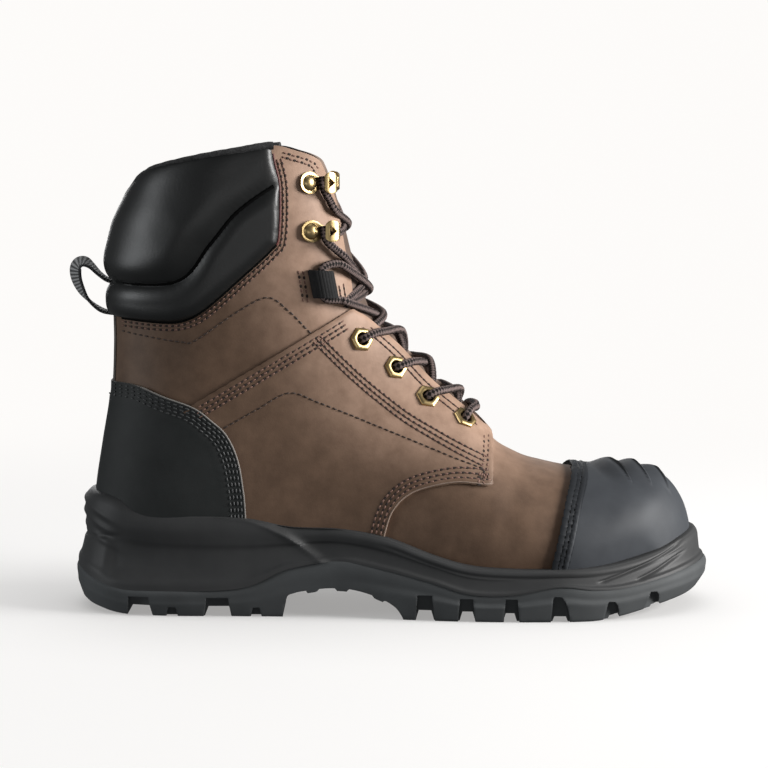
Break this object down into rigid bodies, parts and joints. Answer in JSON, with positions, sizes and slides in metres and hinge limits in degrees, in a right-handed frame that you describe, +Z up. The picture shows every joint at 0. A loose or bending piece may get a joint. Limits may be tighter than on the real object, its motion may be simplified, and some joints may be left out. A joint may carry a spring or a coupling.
{
  "type": "safety boot",
  "caption": "Ankle-high lace-up work boot in brown leather with a moulded toe cap, padded black collar, brass eyelets and hooks, and a lugged rubber sole.",
  "frame": {"origin": "middle of the whole boot's footprint box, on the floor plane under the tread", "axes": "+X to the toe, -Y to the outer side of the foot, +Z up"},
  "size_m": [0.3114, 0.1168, 0.2238],
  "materials": {
    "brass": "aged brass",
    "brown_leather": "brown oiled leather, matte with a fine grain",
    "cap_rubber": "dark grey moulded rubber, fine matte grain",
    "collar_leather": "black smooth leather, satin, padded",
    "counter_leather": "black coated leather, matte",
    "insole_cloth": "black lining cloth",
    "lace_cord": "dark brown braided round lace with lighter flecks",
    "midsole_rubber": "black foamed rubber, satin",
    "sole_rubber": "black moulded rubber, satin",
    "tongue_leather": "soft brown leather, padded",
    "webbing": "black ribbed webbing"
  },
  "bodies": {
    "root": {"outsole": "sole_rubber", "midsole": "midsole_rubber", "upper": "brown_leather", "tongue": "tongue_leather", "insole": "insole_cloth", "quarter_outer": "brown_leather", "quarter_inner": "brown_leather", "toe_cap": "cap_rubber", "heel_counter": "counter_leather", "collar": "collar_leather", "back_strap": "webbing", "pull_loop": "webbing", "eyelet_outer_1": "brass", "eyelet_outer_2": "brass", "eyelet_outer_3": "brass", "eyelet_outer_4": "brass", "hook_outer_1": "brass", "hook_outer_2": "brass", "lace_loop_outer": "webbing", "eyelet_inner_1": "brass", "eyelet_inner_2": "brass", "eyelet_inner_3": "brass", "eyelet_inner_4": "brass", "hook_inner_1": "brass", "hook_inner_2": "brass", "lace_loop_inner": "webbing", "lace_bar": "lace_cord", "lace_cross_1": "lace_cord", "lace_cross_2": "lace_cord", "lace_cross_3": "lace_cord", "lace_cross_4": "lace_cord", "lace_cross_5": "lace_cord", "lace_cross_6": "lace_cord", "lace_cross_7": "lace_cord"}
  },
  "joints": []
}
